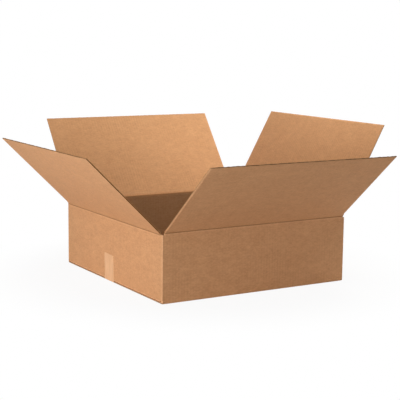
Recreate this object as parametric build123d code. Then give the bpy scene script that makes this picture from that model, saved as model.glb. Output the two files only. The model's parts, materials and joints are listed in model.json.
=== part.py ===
from build123d import *
import math
import os

# An open slotted carton in single-wall corrugated board, standing on its taped bottom with its
# four top flaps folded outwards. Millimetres. X runs along the two length panels, Y along the two
# width panels, and Z goes up from the middle of the underside. The outer flaps are on the length
# panels, front (-Y) and back (+Y), and the inner flaps are on the width panels, left (-X) and
# right (+X).

# Inside of the closed carton
inside_length = 508.0
inside_width = 508.0
inside_depth = 148.5

# Board: two liners with a fluted medium between them, the flutes square to the creases
board = 4.0
liner = 0.35
medium = 0.35
flute_pitch = 7.8
web_angle = 50.0

# Air between two plies that lie on each other, and at the meeting edges of two flaps
ply_gap = 0.3
seam_gap = 2.0

# Crease of a top flap: the board is crushed to this thickness against the outer liner, and both
# sides of the groove are bevelled on the inside so that the flap can fold in
crushed_board = 1.2
crease_gap = 0.35
crease_edge = 0.2
wall_bevel = 35.0
flap_bevel = 40.0
outer_ease = 0.45
crushed_band = 9.0

# Folded corners, and the slots between the flaps, measured in from the outside of the corner
fold_radius = 3.0
outer_flap_slot = 6.5
inner_flap_slot = 8.0

# Lap inside the glued corner
lap_width = 35.0
lap_end_gap = 5.0
lap_end_angle = 15.0

# How far each top flap leans out of the vertical as the carton stands
front_lean = 49.2
back_lean = 36.7
left_lean = 45.6
right_lean = 29.4

# Tape over the bottom seam, drawn thicker than the real film and pressed in clear of the underside
tape_width = 48.0
tape_thickness = 0.15
tape_sink = 0.05
tape_tail = 68.0
tape_offset = 11.0
tape_skew = 1.9
tape_cut_skew = 4.1
tape_tooth_pitch = 3.0
tape_tooth_depth = 0.7

# Outside of the walls, and the levels of the two bottom plies
outer_x = inside_length / 2 + board
outer_y = inside_width / 2 + board
outer_ply_z = 0.0
inner_ply_z = board + ply_gap
inside_floor_z = inner_ply_z + board

# The hinge line of each crease lies in the crushed board, just inside the outer liner
crease_radius = crushed_board / 2
inner_crease_z = inside_floor_z + inside_depth + board - crease_radius
outer_crease_z = inner_crease_z + board + ply_gap

# Sideways drift of the tape for each millimetre of its run
tape_slope = math.tan(math.radians(tape_skew))

# Half lengths of the flaps along their creases
outer_flap_half = outer_x - outer_flap_slot
inner_flap_half = outer_y - inner_flap_slot

# Every panel is drawn on the front side and then turned to its own side about Z: the turn, the
# distance of the outer face from the middle, the level of the bottom ply, the level of the crease,
# half the length of the wall, half the length of the flap, and the lean of the top flap
SIDES = {
    "front": (0, outer_y, outer_ply_z, outer_crease_z, outer_x, outer_flap_half, front_lean),
    "right": (90, outer_x, inner_ply_z, inner_crease_z, inside_width / 2, inner_flap_half, right_lean),
    "back": (180, outer_y, outer_ply_z, outer_crease_z, outer_x, outer_flap_half, back_lean),
    "left": (270, outer_x, inner_ply_z, inner_crease_z, inside_width / 2, inner_flap_half, left_lean),
}


def sideways_prism(section, half_length):
    """Extrude a section drawn in (Y, Z) along X, to the same distance both ways."""
    drawn = Plane.YZ * section
    return extrude(drawn, amount=half_length, both=True)


def wall_section(outer, ply_z, crease_z):
    """A wall in section, from the top of its bottom ply to the round crest of the crease."""
    sine = math.sin(math.radians(wall_bevel))
    cosine = math.cos(math.radians(wall_bevel))
    axis_y = -outer + crease_radius
    bevel_start = (axis_y + crease_radius * cosine, crease_z + crease_radius * sine)
    bevel_run = -outer + board - bevel_start[0]
    bevel_end = (-outer + board, bevel_start[1] - bevel_run * cosine / sine)
    outline = [
        Line((-outer, ply_z + board), (-outer, crease_z)),
        ThreePointArc((-outer, crease_z), (axis_y, crease_z + crease_radius), bevel_start),
        Line(bevel_start, bevel_end),
        Line(bevel_end, (-outer + board, ply_z + board)),
        Line((-outer + board, ply_z + board), (-outer, ply_z + board)),
    ]
    return make_face(Curve() + outline)


def bottom_ply_section(outer, ply_z):
    """A closed bottom flap in section, with the round fold under its wall."""
    fold_centre = (-outer + fold_radius, ply_z + fold_radius)
    fold_middle = fold_radius * math.sqrt(0.5)
    outline = [
        Line((-outer, ply_z + board), (-outer, ply_z + fold_radius)),
        ThreePointArc(
            (-outer, ply_z + fold_radius),
            (fold_centre[0] - fold_middle, fold_centre[1] - fold_middle),
            (-outer + fold_radius, ply_z),
        ),
        Line((-outer + fold_radius, ply_z), (-seam_gap / 2, ply_z)),
        Line((-seam_gap / 2, ply_z), (-seam_gap / 2, ply_z + board)),
        Line((-seam_gap / 2, ply_z + board), (-outer, ply_z + board)),
    ]
    return make_face(Curve() + outline)


def corner_waste(height):
    """What the round of a vertical fold takes off a square corner whose edge is on the Z axis."""
    square = Rectangle(fold_radius, fold_radius, align=(Align.MIN, Align.MIN))
    quarter = Location((fold_radius, fold_radius)) * Circle(fold_radius)
    return extrude(square - quarter, amount=height)


def panel(side):
    """One wall with its bottom flap, on its own side of the carton."""
    turn, outer, ply_z, crease_z, wall_half, flap_half, _ = SIDES[side]
    wall = sideways_prism(wall_section(outer, ply_z, crease_z), wall_half)
    bottom_flap = sideways_prism(bottom_ply_section(outer, ply_z), flap_half)
    return Rotation(0, 0, turn) * (wall + bottom_flap)


def glue_lap():
    """The lap on the end of the right panel, turned in and glued to the inside of the back panel."""
    low_z = inside_floor_z + lap_end_gap
    high_z = inner_crease_z + crease_radius - board - lap_end_gap
    taper = lap_width * math.tan(math.radians(lap_end_angle))
    near_x = outer_x - board
    outline = Polygon(
        (near_x, low_z),
        (near_x, high_z),
        (near_x - lap_width, high_z - taper),
        (near_x - lap_width, low_z + taper),
        align=None,
    )
    # Drawn in (X, Z) on the inner face of the back panel, one board thick towards the inside
    return extrude(Plane.XZ.offset(-inside_width / 2) * outline, amount=board)


def slot_cutter(height):
    """What a slot takes off a corner whose edge is on the Z axis, upwards from its foot."""
    width = 2 * outer_flap_slot
    return Box(width, 2 * board, height, align=(Align.CENTER, Align.CENTER, Align.MIN))


def carton_body():
    """The folded sheet without its top flaps: four walls, the closed bottom and the glue lap."""
    tall = outer_crease_z + board
    # The right panel folds inwards at the glued corner, and the back panel covers that fold
    glued_fold = Location((outer_x, inside_width / 2, 0), (0, 0, 180)) * corner_waste(tall)
    right_panel = panel("right") - glued_fold
    body = panel("front") + panel("back") + panel("left") + right_panel + glue_lap()

    for x_sign, y_sign, turn in ((-1, -1, 0), (1, -1, 90), (-1, 1, 270)):
        corner = Location((x_sign * outer_x, y_sign * outer_y, 0), (0, 0, turn))
        body -= corner * corner_waste(tall)

    # Beside each outer flap the corner is cut down to the level of the inner crease, and its foot
    # is cut up to the level of the inner bottom ply
    top_slot = slot_cutter(outer_crease_z - inner_crease_z + board)
    foot_slot = slot_cutter(inner_ply_z)
    for x_sign in (-1, 1):
        for y_sign in (-1, 1):
            corner_x = x_sign * outer_x
            corner_y = y_sign * outer_y
            body -= Location((corner_x, corner_y, inner_crease_z)) * top_slot
            body -= Location((corner_x, corner_y, 0)) * foot_slot
    return body


def board_section(half_length):
    """Cut end of the board, drawn in (X, Y): two liners and the fluted medium between them.

    The hinge line is at Y 0, the outer liner on the -Y side. The channels on each side of the
    medium are straight-sided, and the ones that the side edges cut through are open there."""
    outside_n = -crease_radius
    inside_n = outside_n + board
    low_n = outside_n + liner
    high_n = inside_n - liner
    web_run = (high_n - low_n - medium) / math.tan(math.radians(web_angle))
    glue_half = (flute_pitch / 2 - web_run + medium * math.tan(math.radians(web_angle / 2))) / 2
    narrow_half = flute_pitch / 2 - web_run - glue_half
    wide_half = flute_pitch / 2 - glue_half

    channels = []
    flutes_each_way = math.ceil(half_length / flute_pitch)
    for index in range(-flutes_each_way, flutes_each_way + 1):
        crest_x = index * flute_pitch
        trough_x = crest_x + flute_pitch / 2
        under_crest = Polygon(
            (crest_x - wide_half, low_n),
            (crest_x + wide_half, low_n),
            (crest_x + narrow_half, high_n - medium),
            (crest_x - narrow_half, high_n - medium),
            align=None,
        )
        over_trough = Polygon(
            (trough_x - wide_half, high_n),
            (trough_x - narrow_half, low_n + medium),
            (trough_x + narrow_half, low_n + medium),
            (trough_x + wide_half, high_n),
            align=None,
        )
        channels += [under_crest, over_trough]
    sheet = Location((0, outside_n)) * Rectangle(2 * half_length, board, align=(Align.CENTER, Align.MIN))
    return sheet - channels


def crushed_section():
    """Foot of a top flap in (Y, Z), bevelled from the bare outer liner to the whole board."""
    start = crease_radius + crease_gap
    bevel_height = (board - crease_radius - crease_edge) / math.tan(math.radians(flap_bevel))
    return make_face(
        Polyline(
            (-crease_edge, start),
            (-crease_radius, start + outer_ease),
            (-crease_radius, crushed_band),
            (board - crease_radius, crushed_band),
            (board - crease_radius, start + bevel_height),
            (crease_edge, start),
            close=True,
        )
    )


def top_flap(side):
    """A top flap, upright on the hinge line of its crease and then leaned out to its place."""
    turn, outer, _, crease_z, _, flap_half, lean = SIDES[side]
    reach = outer - crease_radius - seam_gap / 2
    fluted = extrude(board_section(flap_half), amount=reach - crushed_band)
    upright = sideways_prism(crushed_section(), flap_half) + Location((0, 0, crushed_band)) * fluted
    hinge_line = Location((0, -outer + crease_radius, crease_z))
    return Rotation(0, 0, turn) * (hinge_line * (Rotation(lean, 0, 0) * upright))


def tape_band(inset):
    """Outline in (X, Z) round the underside and up both width panels, set in from the tape's face."""
    width = 2 * (outer_x + tape_thickness - inset)
    height = tape_tail + tape_width - inset
    outline = Rectangle(width, height, align=(Align.CENTER, Align.MIN))
    outline = fillet(outline.vertices().group_by(Axis.Y)[0], fold_radius - inset)
    return Location((0, tape_sink + inset)) * outline


def tape_middle(sign):
    """Where the middle of the strip crosses the bottom edge of the left (-1) or right (+1) panel."""
    return tape_offset - (1 + sign) * outer_x * tape_slope


def tail_outline(sign):
    """One tail in (Y, Z), up to its torn edge. It leans as the strip does, and is cut off askew."""
    half = tape_width / 2
    cut_slope = -sign * math.tan(math.radians(tape_cut_skew - tape_skew))
    steps = 2 * round(tape_width / tape_tooth_pitch)
    points = [(tape_middle(sign) - half, 0), (tape_middle(sign) + half, 0)]
    for step in range(steps + 1):
        across = half - step * tape_width / steps
        bite = tape_tooth_depth * (step % 2)
        height = tape_tail + across * cut_slope - bite
        drift = -sign * tape_slope * (height - fold_radius)
        points.append((tape_middle(sign) + drift + across, height))
    return Polygon(*points, align=None)


def sealing_tape():
    """One strip of tape along the bottom seam, pressed into the board, with a tail up each side."""
    half = tape_width / 2
    far_x = outer_x + board
    band = tape_band(0) - tape_band(tape_thickness)
    wrap = extrude(Plane.XZ * band, amount=outer_y, both=True)
    run_outline = Polygon(
        (-far_x, tape_middle(-1) - half),
        (far_x, tape_middle(1) - half),
        (far_x, tape_middle(1) + half),
        (-far_x, tape_middle(-1) + half),
        align=None,
    )
    tape = wrap & extrude(run_outline, amount=fold_radius)
    for sign in (-1, 1):
        above_fold = Box(2 * board, 2 * outer_y, 2 * tape_tail, align=(Align.CENTER, Align.CENTER, Align.MIN))
        upright = wrap & (Location((sign * outer_x, 0, fold_radius)) * above_fold)
        tape += upright & extrude(Plane.YZ * tail_outline(sign), amount=2 * outer_x, both=True)
    return tape


def write(node, solid):
    export_step(solid, os.path.join("parts", node + ".step"))


os.makedirs("parts", exist_ok=True)
tape = sealing_tape()
board_under_tape = Location((0, 0, -tape_sink)) * tape
write("carton_body", carton_body() - tape - board_under_tape)
write("sealing_tape", tape)
for side in SIDES:
    write("top_flap_" + side, top_flap(side))
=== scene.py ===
import json
import math

import bpy
import numpy as np
from mathutils import Matrix, Vector


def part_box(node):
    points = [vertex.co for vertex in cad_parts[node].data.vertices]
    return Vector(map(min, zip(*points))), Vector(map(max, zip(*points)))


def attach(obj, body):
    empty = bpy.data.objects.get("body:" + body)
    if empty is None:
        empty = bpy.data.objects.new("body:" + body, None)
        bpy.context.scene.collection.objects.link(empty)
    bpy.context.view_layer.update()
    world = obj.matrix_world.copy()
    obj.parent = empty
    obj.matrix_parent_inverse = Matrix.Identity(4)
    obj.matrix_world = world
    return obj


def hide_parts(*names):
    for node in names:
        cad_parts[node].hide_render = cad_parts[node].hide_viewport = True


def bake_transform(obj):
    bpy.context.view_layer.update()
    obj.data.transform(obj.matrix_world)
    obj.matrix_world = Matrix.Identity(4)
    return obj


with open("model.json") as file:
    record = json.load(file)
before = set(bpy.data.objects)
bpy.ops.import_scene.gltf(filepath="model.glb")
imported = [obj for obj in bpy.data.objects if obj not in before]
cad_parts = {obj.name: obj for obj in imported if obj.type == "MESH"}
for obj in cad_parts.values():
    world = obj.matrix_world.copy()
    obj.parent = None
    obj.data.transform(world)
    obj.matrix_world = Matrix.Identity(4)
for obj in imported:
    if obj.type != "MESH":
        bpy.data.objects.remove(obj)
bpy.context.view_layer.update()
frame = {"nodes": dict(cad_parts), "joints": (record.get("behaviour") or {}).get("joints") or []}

nodes = frame["nodes"]

# Carton body: one sheet of brown single-wall board, folded into four walls and a closed bottom.
# Two kraft liners are glued to a fluted medium. The fibres lie level round the walls, and the
# upright flutes show through the liners as a faint washboard.
flute_pitch = 0.0078
outside_brown = (0.655, 0.341, 0.162)
# A darker brown, painted on down inside the carton as shade
painted_shade_brown = (0.335, 0.188, 0.0885)
# A dark brown for specks in the pulp, and for painted shade in the creases and on the cut tops of the
# walls, with the share of that shade
speck_and_shade_brown = (0.26, 0.107, 0.024)
painted_shade_share = 0.8
dark_pulp = (0.84, 0.79, 0.72)
pale_pulp = (1.16, 1.21, 1.28)
# Paler pulp for painted highlights on the folds, the flap edges and below the crease beads
highlight_pulp = (1.16, 1.22, 1.32)
# Paler still, for painted light on the fold at the foot of the side walls
foot_highlight_pulp = (1.34, 1.46, 1.62)
kraft_roughness = 0.8
cloud_size = 0.04
mottle_size = 0.011
mottle_drawn = 0.55
grain_size = 0.0032
fibre_size = 0.0009
fibre_drawn = 0.8
washboard_patch = 0.09
washboard_limits = (-0.15, 0.2)
pulp_relief = 0.00012
speck_size = 0.0018
speck_limits = (0.20, 0.27)
speck_share = 0.35
inside_wall = 0.2542
inside_floor = 0.0081
level_turn = 0.5
floor_less_shade = 0.55
wall_top = 0.1565
rounded_turn = (0.15, 0.6)
foot_fold = (0.0068, 0.0078)
foot_turn = 0.05


class Finish:
    """A procedural material, built up node by node round one Principled surface."""

    def __init__(self, name, roughness, specular):
        self.material = bpy.data.materials.new(name)
        self.material.use_nodes = True
        self.tree = self.material.node_tree
        self.surface = self.tree.nodes["Principled BSDF"]
        self.surface.inputs["Roughness"].default_value = roughness
        self.surface.inputs["Specular IOR Level"].default_value = specular
        coordinates = self.node("TexCoord")
        self.place = coordinates.outputs["Object"]
        self.x, self.y, self.z = self.parts(self.place)
        self.facing = self.parts(coordinates.outputs["Normal"])

    def node(self, kind, inputs=(), **settings):
        """A new node of this kind, with its settings and its inputs by name or number."""
        node = self.tree.nodes.new("ShaderNode" + kind)
        for key, value in settings.items():
            setattr(node, key, value)
        for key, value in dict(inputs).items():
            if isinstance(value, bpy.types.NodeSocket):
                self.tree.links.new(value, node.inputs[key])
            else:
                node.inputs[key].default_value = value
        return node

    def parts(self, vector):
        return self.node("SeparateXYZ", {0: vector}).outputs[:]

    def math(self, operation, *values):
        return self.node("Math", dict(enumerate(values)), operation=operation).outputs[0]

    def cloud(self, place, size, detail=3):
        """Soft noise about zero, with patches of this size in metres."""
        settings = {"Vector": place, "Scale": 1 / size, "Detail": detail}
        return self.math("SUBTRACT", self.node("TexNoise", settings).outputs[0], 0.5)

    def step(self, value, low, high):
        """0 where the value is below low, 1 where it is above high, and smooth between them."""
        limits = {"Value": value, "From Min": low, "From Max": high}
        return self.node("MapRange", limits, interpolation_type="SMOOTHSTEP").outputs[0]

    def total(self, *weighted):
        """Sum of (weight, value) pairs."""
        result = 0.0
        for weight, value in weighted:
            result = self.math("MULTIPLY_ADD", value, weight, result)
        return result

    def mix(self, share, first, second):
        """A colour between two others, each a colour or a socket."""
        ends = [c if isinstance(c, bpy.types.NodeSocket) else (*c, 1) for c in (first, second)]
        inputs = {"Factor": share, 6: ends[0], 7: ends[1]}
        return self.node("Mix", inputs, data_type="RGBA").outputs[2]

    def colour(self, socket):
        self.tree.links.new(socket, self.surface.inputs["Base Color"])

    def roughness(self, socket):
        self.tree.links.new(socket, self.surface.inputs["Roughness"])

    def relief(self, height, depth):
        """Raise the surface by this depth in metres where the height is 1."""
        bump = self.node("Bump", {"Height": height, "Distance": depth, "Strength": 1.0})
        self.tree.links.new(bump.outputs[0], self.surface.inputs["Normal"])


def tinted(brown, pulp):
    return tuple(channel * share for channel, share in zip(brown, pulp))


class Kraft(Finish):
    """Kraft liner: cloudy pulp with its fibres along the sheet, a few dark specks and the flutes."""

    def __init__(self, name, washboard_share):
        super().__init__(name, roughness=kraft_roughness, specular=0.3)
        # Panels that face the front or back run along X, and the others along Y
        self.side_on = self.math("ABSOLUTE", self.facing[0])
        runs_x = self.math("GREATER_THAN", self.math("ABSOLUTE", self.facing[1]), self.side_on)
        runs_y = self.math("SUBTRACT", 1.0, runs_x)
        run = self.total((self.x, runs_x), (self.y, runs_y))
        mottle_place = self.drawn_out(runs_x, runs_y, mottle_drawn)
        fibre_place = self.drawn_out(runs_x, runs_y, fibre_drawn)

        clouds = self.cloud(self.place, cloud_size)
        mottles = self.cloud(mottle_place, mottle_size)
        grain = self.cloud(mottle_place, grain_size)
        fibres = self.cloud(fibre_place, fibre_size, detail=2)
        flutes = self.math("COSINE", self.math("MULTIPLY", run, 2 * math.pi / flute_pitch))
        show = self.step(self.cloud(self.place, washboard_patch, detail=2), *washboard_limits)
        washboard = self.math("MULTIPLY", flutes, show)
        uneven = self.total((0.3, clouds), (0.65, mottles), (1.0, grain), (0.7, fibres),
                            (washboard_share, washboard))
        self.tone = self.math("ADD", 0.5, uneven)
        self.roughness(self.math("MULTIPLY_ADD", mottles, 0.4, kraft_roughness))
        height = self.total((0.35, washboard), (0.8, grain), (0.6, fibres), (1.0, clouds))
        self.relief(height, pulp_relief)

    def drawn_out(self, runs_x, runs_y, share):
        """The place, shortened by this share along the sheet, so that what is drawn there is long."""
        x = self.math("MULTIPLY", self.x, self.math("MULTIPLY_ADD", runs_x, -share, 1.0))
        y = self.math("MULTIPLY", self.y, self.math("MULTIPLY_ADD", runs_y, -share, 1.0))
        return self.node("CombineXYZ", {0: x, 1: y, 2: self.z}).outputs[0]

    def liner(self, brown):
        return self.mix(self.tone, tinted(brown, dark_pulp), tinted(brown, pale_pulp))

    def attribute(self, name):
        return self.node("Attribute", attribute_name=name).outputs["Fac"]

    def coat(self, liner):
        """Finish the sheet with this liner, its specks, and painted shade along the creases where its
        mesh marks it.
        """
        specks = self.step(self.cloud(self.place, speck_size, detail=1), *speck_limits)
        liner = self.mix(self.math("MULTIPLY", specks, speck_share), liner, speck_and_shade_brown)
        crush = self.math("MULTIPLY", self.attribute("crush"), painted_shade_share)
        self.colour(self.mix(crush, liner, speck_and_shade_brown))


walls = Kraft("kraft_body", washboard_share=0.08)
# Painted shade: the liner is painted darker down inside the carton, but less so on its floor
across = walls.math("MAXIMUM", walls.math("ABSOLUTE", walls.x), walls.math("ABSOLUTE", walls.y))
shade_inside = walls.math("MULTIPLY", walls.math("LESS_THAN", across, inside_wall),
                    walls.math("GREATER_THAN", walls.z, inside_floor))
lying = walls.math("GREATER_THAN", walls.facing[2], level_turn)
shade_inside = walls.math("MULTIPLY_ADD", walls.math("MULTIPLY", shade_inside, lying), -floor_less_shade, shade_inside)
liner = walls.mix(shade_inside, walls.liner(outside_brown), walls.liner(painted_shade_brown))
# Painted shade: the board is painted dark where it is cut across, along the top of the walls, for the
# shade in its open flutes
wall_top_shade = walls.math("MULTIPLY", walls.math("GREATER_THAN", walls.z, wall_top), lying)
liner = walls.mix(walls.math("MULTIPLY", wall_top_shade, painted_shade_share), liner, speck_and_shade_brown)
# Painted highlight: the four upright folds are painted paler along their rounding
rounding = walls.math("MINIMUM", walls.side_on, walls.math("ABSOLUTE", walls.facing[1]))
rubbed = walls.step(rounding, *rounded_turn)
liner = walls.mix(rubbed, liner, walls.liner(tinted(outside_brown, highlight_pulp)))
# Painted light: so is the fold at the foot of the side walls, down beside the floor, where it turns down
# into shade
foot_low = walls.math("SUBTRACT", 1.0, walls.step(walls.z, *foot_fold))
foot_light = walls.math("MULTIPLY", foot_low, walls.math("GREATER_THAN", walls.side_on, foot_turn))
walls.coat(walls.mix(foot_light, liner, walls.liner(tinted(outside_brown, foot_highlight_pulp))))
for node in nodes.values():
    node.data.materials.clear()
    node.data.materials.append(walls.material)

# Sealing tape: one strip of tan plastic film along the bottom seam, rubbed down over the edge and
# up each side. The film is semi-gloss, a little paler than the board, and palest at its two edges.
film_tan = (0.81, 0.445, 0.202)
film_pale = (0.92, 0.565, 0.30)
film_shadow = (0.60, 0.30, 0.13)
film_roughness = 0.42
film_relief = 0.00015
strip_shortened = 0.15
draw_line_size = 0.0035
wrinkle_size = 0.009
patch_size = 0.02
plain_share = 0.4
pale_share = 0.7
tape_half = 0.024
pale_edge = (tape_half - 0.0028, tape_half - 0.0008)
tape_offset = 0.011
tape_slope = math.tan(math.radians(1.9))
carton_half = 0.258

film = Finish("tape_film", roughness=film_roughness, specular=0.5)
# How far along the strip and across it a point is, with the tails laid out flat
tail_height = film.math("MULTIPLY", film.math("SIGN", film.x), film.z)
along_strip = film.math("ADD", film.x, tail_height)
middle = film.math("MULTIPLY_ADD", film.math("ADD", along_strip, carton_half), -tape_slope, tape_offset)
across_strip = film.math("SUBTRACT", film.y, middle)
strip_place = film.node("CombineXYZ", {
    0: film.math("MULTIPLY", along_strip, strip_shortened),
    1: across_strip,
    2: 0.0,
}).outputs[0]
draw_lines = film.cloud(strip_place, draw_line_size, detail=4)
wrinkles = film.cloud(strip_place, wrinkle_size, detail=2)
patches = film.cloud(film.place, patch_size)
edge = film.step(film.math("ABSOLUTE", across_strip), *pale_edge)
tone = film.math("ADD", film.total((1.1, draw_lines), (1.6, wrinkles), (0.8, patches)), 0.5)
film_colour = film.mix(tone, film_shadow, film_pale)
film_colour = film.mix(plain_share, film_colour, film_tan)
film.colour(film.mix(film.math("MULTIPLY", edge, pale_share), film_colour, film_pale))
film.roughness(film.math("MULTIPLY_ADD", patches, 0.5, film_roughness))
film.relief(film.total((0.6, draw_lines), (1.0, patches)), film_relief)
nodes["sealing_tape"].data.materials.clear()
nodes["sealing_tape"].data.materials.append(film.material)

# Top flaps: the same board, cut to half the carton's width and creased along the foot. Each is
# two liners with the fluted medium between them. The flutes run up the flap and end open at its
# tip, the knife has pinched its side edges, and the crease has crushed its foot.
joints = {joint["child"]: joint for joint in frame["joints"]}
inside_brown = (0.695, 0.360, 0.163)
medium_browns = ((0.28, 0.14, 0.055), (0.48, 0.255, 0.115))
cut_browns = ((0.44, 0.232, 0.097), (0.72, 0.41, 0.198))
# Dark browns for the painted shade on the left flap's front edge
edge_shade_browns = ((0.11, 0.038, 0.009), (0.22, 0.085, 0.022))
flap_reach = 0.2564
liner_thickness = 0.00035
medium_thickness = 0.0003
glue_gap = 0.00002
flap_rows = np.array([0.95, 1.4, 1.9, 2.5, 3.1, 3.7, 4.3, 5.0, 6.5, 9, 13, 20, 40, 120, 240,
                      251.5, 253, 254, 255, 255.8, 256.4]) / 1000
medium_rows = np.array([0.95, 1.9, 3.1, 4.3, 6.5, 9, 20, 252, 254, 255.4, 256.4]) / 1000
# The foot is creased thin, and each liner takes some height to recover
foot = 0.00095
foot_fade = 0.003
foot_face = -0.0002
foot_thickness = 0.00018
outer_face = -0.0006
outer_recovered = 0.0014
inner_recovered = 0.0022
bevel_rise = np.array([0.95, 1.9, 3.1, 4.1, 5.0, 6.5, 9]) / 1000
bevel_face = np.array([0.2, 0.98, 1.98, 2.72, 3.18, 3.37, 3.4]) / 1000
outer_washboard = 0.00004
inner_washboard = 0.00008
crushed_depth = 0.0003
crushed_rise = 0.004
crushed_height = 0.006
# What the knife did to a liner at the side edges and the tip: how deep it pressed, and how far in
edge_roll = (0.0014, 0.0038)
edge_pinch = (0.0010, 0.0045)
tip_roll = (0.0006, 0.003)
tip_pinch = (0.0008, 0.004)
light_press = 0.35
uneven_cut = 0.0004
# Width of the painted highlight along the flaps' side edges
edge_highlight_width = 0.0016
least_step = 0.0003
web_thickness = 0.00015
web_across = np.array([0, 0.2, 0.5, 0.8, 1])
web_hollow = 0.0004 * np.array([0.25, 0.8, 1, 0.8, 0.25])
upward = Vector((0, 0, 1))

outside_kraft = Kraft("kraft_outside", washboard_share=0.05)
# The outer liner is painted paler, as a highlight, where its mesh marks it so
outside_kraft.coat(outside_kraft.mix(outside_kraft.attribute("rubbed"),
                                     outside_kraft.liner(outside_brown),
                                     outside_kraft.liner(tinted(outside_brown, highlight_pulp))))
inside_kraft = Kraft("kraft_inside", washboard_share=0.12)
# The inner liner is painted darker with shade where its mesh marks it so
inside_kraft.coat(inside_kraft.mix(inside_kraft.attribute("dull"),
                                   inside_kraft.liner(inside_brown),
                                   inside_kraft.liner(painted_shade_brown)))
medium_brown = Finish("fluted_medium", roughness=0.9, specular=0.1)
medium_grain = medium_brown.total(
    (1.2, medium_brown.cloud(medium_brown.place, size=0.0015)),
    (0.8, medium_brown.cloud(medium_brown.place, size=0.02, detail=2)),
)
medium_tone = medium_brown.math("ADD", medium_grain, 0.5)
medium_brown.colour(medium_brown.mix(medium_tone, *medium_browns))
medium_brown.relief(medium_grain, depth=0.00008)
cut_fibre = Finish("cut_edge", roughness=0.95, specular=0.2)
cut_grain = cut_fibre.cloud(cut_fibre.place, size=0.0009)
cut_tone = cut_fibre.math("MULTIPLY_ADD", cut_grain, 1.4, 0.5)
cut_fibre.colour(cut_fibre.mix(cut_tone, *cut_browns))
cut_fibre.relief(cut_grain, depth=0.0001)
# Painted shade: a dark finish for a cut edge that stands in shade
shaded_cut_edge = Finish("shaded_cut_edge", roughness=0.7, specular=0.15)
shaded_cut_grain = shaded_cut_edge.cloud(shaded_cut_edge.place, size=0.0012)
shaded_cut_tone = shaded_cut_edge.math("ADD", shaded_cut_grain, 0.5)
shaded_cut_edge.colour(shaded_cut_edge.mix(shaded_cut_tone, *edge_shade_browns))


def thin_sheet(front, back):
    """A closed sheet between two grids of points: the points, then front, back and rim faces."""
    rows, columns = front.shape[:2]
    grid = np.arange(rows * columns).reshape(rows, columns)
    corners = [grid[:-1, :-1], grid[:-1, 1:], grid[1:, 1:], grid[1:, :-1]]
    squares = np.stack(corners, axis=-1).reshape(-1, 4)
    border = np.concatenate([grid[0], grid[1:, -1], grid[-1, -2::-1], grid[-2:0:-1, 0]])
    following = np.roll(border, -1)
    rim = np.stack([following, border, border + grid.size, following + grid.size], axis=-1)
    points = np.concatenate([front.reshape(-1, 3), back.reshape(-1, 3)])
    return points, squares, squares[:, ::-1] + grid.size, rim


def sheet_piece(name, sheets, sharp=40):
    """One object of thin sheets: two grids each, finishes for the front, back and rim, and marks of
    painted shade and highlight.
    """
    finishes = list(dict.fromkeys(finish for sheet in sheets for finish in sheet[2]))
    points, faces, finish_numbers, count = [], [], [], 0
    painted_marks = {"crush": [], "dull": [], "rubbed": []}
    for front, back, sheet_finishes, marks in sheets:
        sheet_points, *sheet_faces = thin_sheet(front, back)
        points.append(sheet_points)
        for mark, values in painted_marks.items():
            values.append(np.tile(np.broadcast_to(marks.get(mark, 0.0), front.shape[:2]).ravel(), 2))
        for finish, some_faces in zip(sheet_finishes, sheet_faces):
            faces.append(some_faces + count)
            finish_numbers.append(np.full(len(some_faces), finishes.index(finish)))
        count += len(sheet_points)
    mesh = bpy.data.meshes.new(name)
    mesh.from_pydata(np.concatenate(points), [], np.concatenate(faces).tolist())
    for finish in finishes:
        mesh.materials.append(finish.material)
    mesh.polygons.foreach_set("material_index", np.concatenate(finish_numbers).astype(np.int32))
    for mark, values in painted_marks.items():
        attribute = mesh.attributes.new(mark, "FLOAT", "POINT")
        attribute.data.foreach_set("value", np.concatenate(values).astype(np.float32))
    mesh.shade_smooth()
    mesh.set_sharp_from_angle(angle=math.radians(sharp))
    piece = bpy.data.objects.new(name, mesh)
    bpy.context.scene.collection.objects.link(piece)
    return piece


def stations(half_length, steps):
    """Places along a crease, so many to a flute, with the two ends and none crowded up to them."""
    spacing = flute_pitch / steps
    count = math.ceil(half_length / spacing)
    inner = np.arange(1 - count, count) * spacing
    inner = inner[np.abs(inner) < half_length - least_step]
    return np.concatenate([[-half_length], inner, [half_length]])


def smooth_step(value):
    value = np.clip(value, 0, 1)
    return value * value * (3 - 2 * value)


def flute_wave(run):
    """1 where the medium touches the inner liner and -1 where it touches the outer one."""
    return np.cos(2 * math.pi * run / flute_pitch)


def grid(run, depth, rise):
    """Grid of points from their run along the crease, depth into the board and rise up the flap."""
    return np.stack(np.broadcast_arrays(run, depth, rise), axis=-1)


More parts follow.
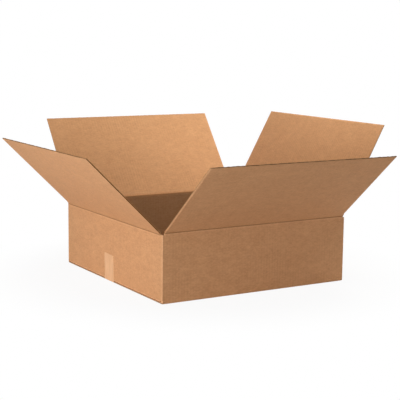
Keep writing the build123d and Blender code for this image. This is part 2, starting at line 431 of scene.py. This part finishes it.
class Flap:
    """One top flap as it stands: its hinge line, its lean out of the vertical and half its length."""

    def __init__(self, side):
        joint = joints[side + "_flap"]
        self.hinge = np.array(joint["pos_m"])
        self.along = Vector(joint["axis"])
        # The hinge's range begins with the flap folded shut, which is a right angle from upright
        self.lean = math.radians(-joint["range_deg"][0] - 90)
        low_corner, high_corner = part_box("top_flap_" + side)
        self.half_length = abs((high_corner - low_corner).dot(self.along)) / 2
        self.far_press = 1
        self.far_finish = cut_fibre

    def in_place(self, points, lean=0):
        """Points along the crease, in from it and up from it, at that lean, in the carton's frame."""
        outward = self.along.cross(upward)
        climb = upward * math.cos(lean) + outward * math.sin(lean)
        inward = upward * math.sin(lean) - outward * math.cos(lean)
        return points @ np.array([self.along, inward, climb]) + self.hinge

    def knifed(self, run, rise, side_edge, tip_edge):
        """How far the knife has pressed a liner in, at its side edges and unevenly at its tip."""
        depth, width = side_edge
        share = np.where(run > 0, self.far_press, 1)
        side_press = share * depth * smooth_step((np.abs(run) - self.half_length + width) / width) ** 1.5
        depth, width = tip_edge
        # The knife's edge waves a little, over lengths of 30, 94 and 12 mm
        uneven = 1 + 0.35 * np.sin(run * 211) * np.sin(run * 67 + 1) + 0.25 * np.sin(run * 523)
        tip_press = depth * uneven * smooth_step((rise - flap_reach + width) / width) ** 1.5
        return np.maximum(side_press, tip_press)

    def outer_liner(self, run, rise):
        """The two faces of the outer liner, sunk a little between the flutes."""
        sunk = outer_washboard * (1 + flute_wave(run)) / 2
        sunk = sunk + self.knifed(run, rise, edge_roll, tip_roll)
        sunk = sunk * smooth_step((rise - foot) / foot_fade)
        outside = np.interp(rise, [foot, outer_recovered], [foot_face, outer_face]) + sunk
        thickness = np.interp(rise, [foot, outer_recovered], [foot_thickness, liner_thickness])
        return outside, outside + thickness

    def inner_liner(self, run, rise):
        """The two faces of the inner liner, pressed down to the outer one along the foot."""
        crushed = crushed_depth * np.exp(-np.abs(rise - crushed_rise) / crushed_height)
        sunk = (inner_washboard + crushed) * (1 - flute_wave(run)) / 2
        sunk = sunk + self.knifed(run, rise, edge_pinch, tip_pinch)
        sunk = sunk * smooth_step((rise - foot) / foot_fade)
        inside = np.interp(rise, bevel_rise, bevel_face) - sunk
        thickness = np.interp(rise, [foot, inner_recovered], [foot_thickness, liner_thickness])
        return inside - thickness, inside

    def fluting(self, trim):
        """The fluted medium, one wave from liner to liner, crushed flat at the foot of the flap."""
        run = stations(self.half_length, steps=12)[None, :]
        rise = medium_rows[:, None]
        low = self.outer_liner(run, rise)[1]
        high = self.inner_liner(run, rise)[0]
        swing = np.maximum((high - low - medium_thickness) / 2 - glue_gap, 0)
        centre = (low + high) / 2 + swing * flute_wave(run)
        slope = np.gradient(centre, run[0], axis=1)
        leaning = 1 / np.sqrt(1 + slope**2)
        half = np.minimum(medium_thickness, np.maximum(high - low - glue_gap, 2 * glue_gap)) / 2
        # The knife leaves the medium a little short of the liners, by a different amount at each flute
        short = np.where(rise == medium_rows[-1], np.interp(run, *trim), 0)
        faces = []
        for side in (-1, 1):
            moved = side * half * leaning
            points = grid(run - moved * slope, centre + moved, rise - short)
            faces.append(self.in_place(points, self.lean))
        return faces

    def edge_web(self, end):
        """The strip of medium that the knife has folded shut between the liners at a side edge."""
        run = end * self.half_length
        rise = flap_rows[:, None]
        low = self.outer_liner(run, rise)[1] - web_thickness
        high = self.inner_liner(run, rise)[0] + web_thickness
        faces = []
        for depth in (0, web_thickness)[::end]:
            points = grid(run - end * (web_hollow + depth), low + (high - low) * web_across, rise)
            faces.append(self.in_place(points, self.lean))
        return faces


flaps = {side: Flap(side) for side in ("front", "right", "back", "left")}
# The front edge of the left flap was pressed less than the others, and is painted dark as shade
flaps["left"].far_press = light_press
flaps["left"].far_finish = shaded_cut_edge

random = np.random.default_rng(12)
for side, flap in flaps.items():
    run = stations(flap.half_length, steps=6)[None, :]
    rise = flap_rows[:, None]
    outer_faces, inner_faces = (
        [flap.in_place(grid(run, depth, rise), flap.lean) for depth in liner(run, rise)]
        for liner in (flap.outer_liner, flap.inner_liner)
    )
    cuts = np.arange(-flap.half_length, flap.half_length + flute_pitch, flute_pitch / 2)
    trim = (cuts, random.uniform(0, uneven_cut, len(cuts)))
    # Painted highlight: the outer liner is painted paler along its side edges
    edge_highlight = np.exp(-((flap.half_length - np.abs(run)) / edge_highlight_width) ** 2)
    board = sheet_piece(side + "_flap_board", [
        (*outer_faces, (outside_kraft, medium_brown, cut_fibre), {"rubbed": edge_highlight}),
        (*inner_faces, (medium_brown, inside_kraft, cut_fibre), {}),
        (*flap.fluting(trim), (medium_brown, medium_brown, cut_fibre), {}),
        (*flap.edge_web(-1), (cut_fibre, cut_fibre, cut_fibre), {}),
        (*flap.edge_web(1), (flap.far_finish, flap.far_finish, flap.far_finish), {}),
    ])
    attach(board, side + "_flap")
    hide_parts("top_flap_" + side)

# Creases: where a flap meets its wall, both liners carry on round the hinge line. Outside they
# buckle into a sharp valley between two low beads, and inside they stretch over a shallow groove.
crease_skin = 0.0003
valley_width = 0.0017
bead_distance = 0.0024
bead_width = 0.0016
bead_ripple = 0.00012
# A painted highlight runs along the wall just below the lower bead
highlight_distance = 0.0036
highlight_width = 0.0012
highlight_share = 0.7
bend_below = 0.0012
bend_above = 0.0014
imprint_depth = 0.0002
imprint_reach = 0.004
groove_ripple = 0.0001
ripple_reach = 0.003
# Painted shade along the inside of each crease: its share and reach on the wall, and its reach on the
# flap
wall_shade_share = 0.8
wall_shade_reach = 0.0035
flap_shade_reach = 0.0006
# The groove, and the rows of each path, in millimetres: in from the hinge line and up from it
groove_depth = 0.45
groove_width = 0.7
wall_outside = [(-0.57, -8), (-0.64, -5.6), (-0.80, -4), (-1.0, -2.9),
                (-1.12, -2.0), (-1.06, -1.2), (-0.80, -0.5), (-0.45, 0)]
valley = (-0.34, 0.35)
flap_outside = [(-0.45, 1.0), (-0.80, 1.5), (-1.06, 2.2), (-1.12, 3.0),
                (-0.98, 3.9), (-0.78, 5.0), (-0.64, 6.8), (-0.57, 9)]
wall_inside = [(3.37, -9), (3.42, -6), (3.43, -2.8)]
flap_inside = [(3.43, 3.6), (3.42, 7), (3.37, 10)]
# Between those last two, the inner liner is stretched straight across with a low swell
stretch_rows = np.linspace(0, 1, 17)[1:-1]
swell_share = 0.1


def leaned(points, lean):
    """Flap points, in from and up from the hinge line, turned with the flap's lean."""
    cosine, sine = math.cos(lean), math.sin(lean)
    return [(inward * cosine - up * sine, inward * sine + up * cosine) for inward, up in points]


def stretched_liner(first, last, lean):
    """The inner liner's rows across a crease, between its first and last points."""
    chord = last - first
    width = np.linalg.norm(chord)
    square = np.array([chord[1], -chord[0]]) / width
    off_middle = (stretch_rows - 0.5) * width
    swell = width * math.tan(lean / 2) * swell_share
    height = 4 * swell * stretch_rows * (1 - stretch_rows)
    height = height - groove_depth * np.exp(-(off_middle / groove_width) ** 2)
    stretched = first + stretch_rows[:, None] * chord + height[:, None] * square
    return [tuple(point) for point in stretched]


def skin(flap, path, run, unevenness):
    """Both faces of a thin skin along a crease, over a path of points in millimetres."""
    path = np.array(path) / 1000
    heading = np.gradient(path, axis=0)
    heading /= np.linalg.norm(heading, axis=1)[:, None]
    # To the left of the path: out of the carton where it climbs, and into it where it comes down
    square = np.stack([-heading[:, 1], heading[:, 0]], axis=-1)
    faces = []
    for depth in (0, crease_skin):
        offset = unevenness[:, :, None] - depth
        points = path[:, None, :] + square[:, None, :] * offset
        faces.append(flap.in_place(grid(run, points[:, :, 0], points[:, :, 1])))
    return faces


def ripples(run, size):
    """Random heights along a crease, one for every half flute, smooth between them."""
    knots = np.arange(run[0, 0], run[0, -1] + flute_pitch, flute_pitch / 2)
    return np.interp(run, knots, random.uniform(-size, size, len(knots)))


for side, flap in flaps.items():
    path = wall_outside + [valley] + leaned(flap_outside, flap.lean)
    distance = np.linalg.norm(np.array(path) - valley, axis=1)[:, None] / 1000
    run = stations(flap.half_length, steps=4)[None, :]
    bead = np.exp(-((distance - bead_distance) / bead_width) ** 2)
    outside_skin = skin(flap, path, run, bead * ripples(run, bead_ripple))
    # Painted shade darkens the valley of the crease
    valley_shade = np.minimum(1, 2 * np.exp(-(distance / valley_width) ** 2))
    on_wall = np.arange(len(path))[:, None] < len(wall_outside)
    # Painted highlight on the wall below the lower bead
    bead_highlight = highlight_share * on_wall * np.exp(-((distance - highlight_distance) / highlight_width) ** 2)
    outside = sheet_piece(side + "_crease_outside", [
        (*outside_skin, (outside_kraft, outside_kraft, cut_fibre),
         {"crush": valley_shade, "rubbed": bead_highlight}),
    ], sharp=180)
    start = flap.in_place(np.array([0, outer_face, -bend_below]))
    end = flap.in_place(np.array([0, outer_face, bend_above]), flap.lean)
    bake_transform(outside)

    first, last = np.array(wall_inside[-1]), np.array(leaned(flap_inside, flap.lean)[0])
    path = wall_inside + stretched_liner(first, last, flap.lean) + leaned(flap_inside, flap.lean)
    path = path[::-1]
    groove_row = len(path) // 2
    distance = np.linalg.norm(np.array(path) - path[groove_row], axis=1)[:, None] / 1000
    run = stations(flap.half_length, steps=6)[None, :]
    imprint = imprint_depth * np.exp(-(distance / imprint_reach) ** 2) * (1 - flute_wave(run)) / 2
    rippled = np.exp(-(distance / ripple_reach) ** 2) * ripples(run, groove_ripple)
    inside_skin = skin(flap, path, run, rippled - imprint)
    # Painted shade darkens the inner liner round the groove, and the wall's half takes the painted shade
    # of the carton's inside
    on_wall = np.arange(len(path))[:, None] > groove_row
    inside_crease_shade = np.where(on_wall, wall_shade_share * np.exp(-(distance / wall_shade_reach) ** 2),
                            np.exp(-(distance / flap_shade_reach) ** 2))
    inside = sheet_piece(side + "_crease_inside", [
        (*inside_skin, (inside_kraft, inside_kraft, cut_fibre),
         {"crush": inside_crease_shade, "dull": on_wall * 1.0}),
    ], sharp=180)
    start = flap.in_place(np.array([0, *first / 1000]))
    end = flap.in_place(np.array([0, *last / 1000]))
    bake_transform(inside)

# Ends of the outer bottom flaps: the two flaps run out under the side walls, so that the carton
# stands on their cut edges. The knife has pinched the liners of each end together, and the tape
# draws the lower one in round the edge.
# Darker, greyer browns for painted shade on the folded webs at the ends
ply_edge_shade_browns = ((0.28, 0.165, 0.09), (0.52, 0.33, 0.20))
end_start = 0.2513
end_reach = 0.2570
end_pinch = (0.0006, 0.0003)
end_shares = np.array([[0, 0.3, 0.6, 0.8, 0.9, 0.96, 1]])
tape_pull = 0.0019
tape_lift = 0.00012
pull_beyond = 0.0006
pull_fade = 0.0008
fold_run = 0.2550
fold_rise = 0.0030
fold_round = 0.0029
seam_edge = 0.0010
ply_top = 0.0041
wall_foot = 0.00425
inner_turn = (0.2539, 0.25415)
short_of_turn = 0.9996
round_fold = np.radians([15, 30, 45, 60, 75, 90])[:, None]
# Rows from the seam out to the fold, closer together where an edge of the tape crosses an end
tape_edges = [abs(tape_offset - shift + half) for shift in (0, 2 * carton_half * tape_slope)
              for half in (-tape_half, tape_half)]
near_tape_edge = np.linspace(-0.0006, 0.0021, 10)
seam_to_fold = [np.linspace(seam_edge, fold_run, 128)]
seam_to_fold += [tape_edge + near_tape_edge for tape_edge in tape_edges]
seam_to_fold = np.unique(np.concatenate(seam_to_fold).round(5))[:, None]

# Painted shade: the webs at the ends of the bottom flaps are painted darker, as they stand in shade under
# the walls
shaded_ply_edge = Finish("shaded_ply_edge", roughness=0.9, specular=0.2)
shaded_ply_grain = shaded_ply_edge.cloud(shaded_ply_edge.place, size=0.0015)
shaded_ply_tone = shaded_ply_edge.math("ADD", shaded_ply_grain, 0.5)
shaded_ply_edge.colour(shaded_ply_edge.mix(shaded_ply_tone, *ply_edge_shade_browns))


def end_face(end, flap, run, rise, pull):
    """Points of one face of a liner, from their run from the seam and their rise off the floor."""
    middle = tape_offset - (1 + end) * carton_half * tape_slope
    taped = smooth_step((tape_half + pull_beyond - np.abs(flap * run - middle)) / pull_fade)
    reach = end_start + (end_reach - end_start - pull * taped) * end_shares
    return grid(end * reach, flap * run, rise + tape_lift * taped)[::-end * flap]


def lower_liner(end, flap, depth):
    """The liner on the floor, which turns up round the fold into the front or back wall."""
    radius = fold_round - depth
    flat = np.broadcast_to(radius, (len(seam_to_fold), radius.shape[1]))
    run = np.concatenate([
        seam_to_fold + 0 * flat,
        fold_run + radius * np.sin(round_fold),
        fold_run + radius,
    ])
    rise = np.concatenate([
        fold_rise - flat,
        fold_rise - radius * np.cos(round_fold),
        wall_foot + 0 * radius,
    ])
    return end_face(end, flap, run, rise, tape_pull)


def upper_liner(end, flap, depth):
    """The liner on top, which ends at the inside of the same fold."""
    turned = np.linspace(*inner_turn, len(round_fold) + 1)[:, None]
    climb = np.linspace(ply_top, wall_foot, len(turned))[:, None]
    run = np.concatenate([seam_to_fold * inner_turn[0] / fold_run * short_of_turn, turned])
    rise = np.concatenate([ply_top + 0 * seam_to_fold, climb]) - depth
    return end_face(end, flap, run, rise, 0)


def end_web(end, lower_edge, upper_edge):
    """The medium, folded shut between the edges of the two liners."""
    straight = lower_edge[:, None] + (upper_edge - lower_edge)[:, None] * web_across[:, None]
    return [straight - grid(end * (web_hollow + depth), 0, 0) for depth in (0, web_thickness)]


# Each end is -1 for left or 1 for right, and each flap is -1 for front or 1 for back
for side, end in (("left", -1), ("right", 1)):
    sheets = []
    for flap in (-1, 1):
        lower_pinch, upper_pinch = (depth * smooth_step(2 * end_shares - 1) ** 1.5 for depth in end_pinch)
        lower = [lower_liner(end, flap, lower_pinch + depth) for depth in (0, liner_thickness)]
        upper = [upper_liner(end, flap, upper_pinch + depth) for depth in (liner_thickness, 0)]
        web = end_web(end, lower[1][:, -1], upper[0][:, -1])
        sheets += [
            (*lower, (outside_kraft, medium_brown, cut_fibre), {}),
            (*upper, (medium_brown, inside_kraft, cut_fibre), {}),
            (*web, (shaded_ply_edge, shaded_ply_edge, shaded_ply_edge), {}),
        ]
    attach(sheet_piece(side + "_bottom_ends", sheets), "carton")

# Stage: a plain white floor that runs into a white backdrop, with soft lamps and a little sky.
# The camera sees the floor as white, and the carton's faint shadow stays on it.
floor_half = 6.0
floor_drop = 0.0003
floor_white = (0.85, 0.85, 0.85)
shadow_share = 0.07
shadow_reach = (0.33, 0.62)
sky_strength = 0.095
carton_middle = (0, 0, 0.12)


def seen_by_eye(tree):
    """1 on the rays of the camera, and on those that gloss or glass passes on to it."""
    rays = tree.nodes.new("ShaderNodeLightPath").outputs
    seen = rays["Is Camera Ray"]
    for ray in ("Is Glossy Ray", "Is Transmission Ray"):
        either = tree.nodes.new("ShaderNodeMath")
        either.operation = "MAXIMUM"
        tree.links.new(seen, either.inputs[0])
        tree.links.new(rays[ray], either.inputs[1])
        seen = either.outputs[0]
    return seen


floor_mesh = bpy.data.meshes.new("floor")
floor_corners = [(x * floor_half, y * floor_half, -floor_drop)
                 for x, y in ((-1, -1), (1, -1), (1, 1), (-1, 1))]
floor_mesh.from_pydata(floor_corners, [], [(0, 1, 2, 3)])
floor = bpy.data.objects.new("floor", floor_mesh)
bpy.context.scene.collection.objects.link(floor)

matt = Finish("floor_white", roughness=1.0, specular=0.0)
matt.surface.inputs["Base Color"].default_value = (*floor_white, 1)
lit_white = matt.surface.outputs[0]
from_carton = matt.node("VectorMath", {0: matt.place}, operation="LENGTH").outputs["Value"]
shadow_fades = matt.math("SUBTRACT", 1.0, matt.step(from_carton, *shadow_reach))
shadow_fades = matt.math("MULTIPLY", shadow_fades, shadow_share)
plain_white = matt.node("Emission", {"Color": (1, 1, 1, 1), "Strength": 1.0}).outputs[0]
seen_white = matt.node("MixShader", {0: shadow_fades, 1: plain_white, 2: lit_white}).outputs[0]
shown = matt.node("MixShader", {0: seen_by_eye(matt.tree), 1: lit_white, 2: seen_white}).outputs[0]
matt.tree.links.new(shown, matt.tree.nodes["Material Output"].inputs["Surface"])
floor_mesh.materials.append(matt.material)

world = bpy.data.worlds.new("studio")
world.use_nodes = True
bpy.context.scene.world = world
sky = world.node_tree
sky_level = sky.nodes.new("ShaderNodeMapRange")
sky_level.inputs["To Min"].default_value = sky_strength
sky_level.inputs["To Max"].default_value = 1.0
sky.links.new(seen_by_eye(sky), sky_level.inputs["Value"])
sky.links.new(sky_level.outputs[0], sky.nodes["Background"].inputs["Strength"])
sky.nodes["Background"].inputs["Color"].default_value = (1, 1, 1, 1)


def soft_lamp(name, place, aim, size, watts):
    """A round soft lamp, aimed at a point of the carton."""
    lamp = bpy.data.lights.new(name, "AREA")
    lamp.shape = "DISK"
    lamp.size = size
    lamp.energy = watts
    holder = bpy.data.objects.new(name, lamp)
    holder.location = place
    holder.rotation_euler = (Vector(aim) - Vector(place)).to_track_quat("-Z", "Y").to_euler()
    bpy.context.scene.collection.objects.link(holder)


soft_lamp("left_lamp", (-1.8, 0, 0.15), (-0.2, 0, 0.15), 0.7, 10)
soft_lamp("corner_lamp", (-1.2, -1.8, 0.4), (-0.1, -0.2, 0.15), 0.7, 6.8)
soft_lamp("top_lamp", (0.50, -0.12, 0.98), (0.1, 0.3, 0.2), 0.4, 5.4)
soft_lamp("wide_lamp", (-2.58, -1.49, 0.43), carton_middle, 1.4, 18.5)
soft_lamp("upper_lamp", (-2.20, -1.27, 1.71), carton_middle, 1.4, 8.2)
soft_lamp("high_lamp", (1.06, -1.51, 2.48), carton_middle, 0.7, 1.5)
soft_lamp("right_lamp", (2.98, 0, 0.43), carton_middle, 1.4, 38)
soft_lamp("rear_lamp", (0, 2.98, 0.43), carton_middle, 1.4, 35)

# Camera: it stands off the left corner and looks a little down on the flaps through a long lens,
# as the photo was taken.
camera_place = Vector((-1.4253, -2.3715, 0.6182))
camera_heading = math.radians(59.10)
camera_pitch = math.radians(8.88)
camera_roll = math.radians(0.64)
camera_data = bpy.data.cameras.new("camera")
camera_data.sensor_width = 36
camera_data.lens = 98.56
camera = bpy.data.objects.new("camera", camera_data)
camera.matrix_world = (
    Matrix.Translation(camera_place)
    @ Matrix.Rotation(camera_heading - math.pi / 2, 4, "Z")
    @ Matrix.Rotation(math.pi / 2 - camera_pitch, 4, "X")
    @ Matrix.Rotation(camera_roll, 4, "Z")
)
bpy.context.scene.collection.objects.link(camera)
bpy.context.scene.camera = camera
bpy.context.scene.view_settings.view_transform = "Standard"
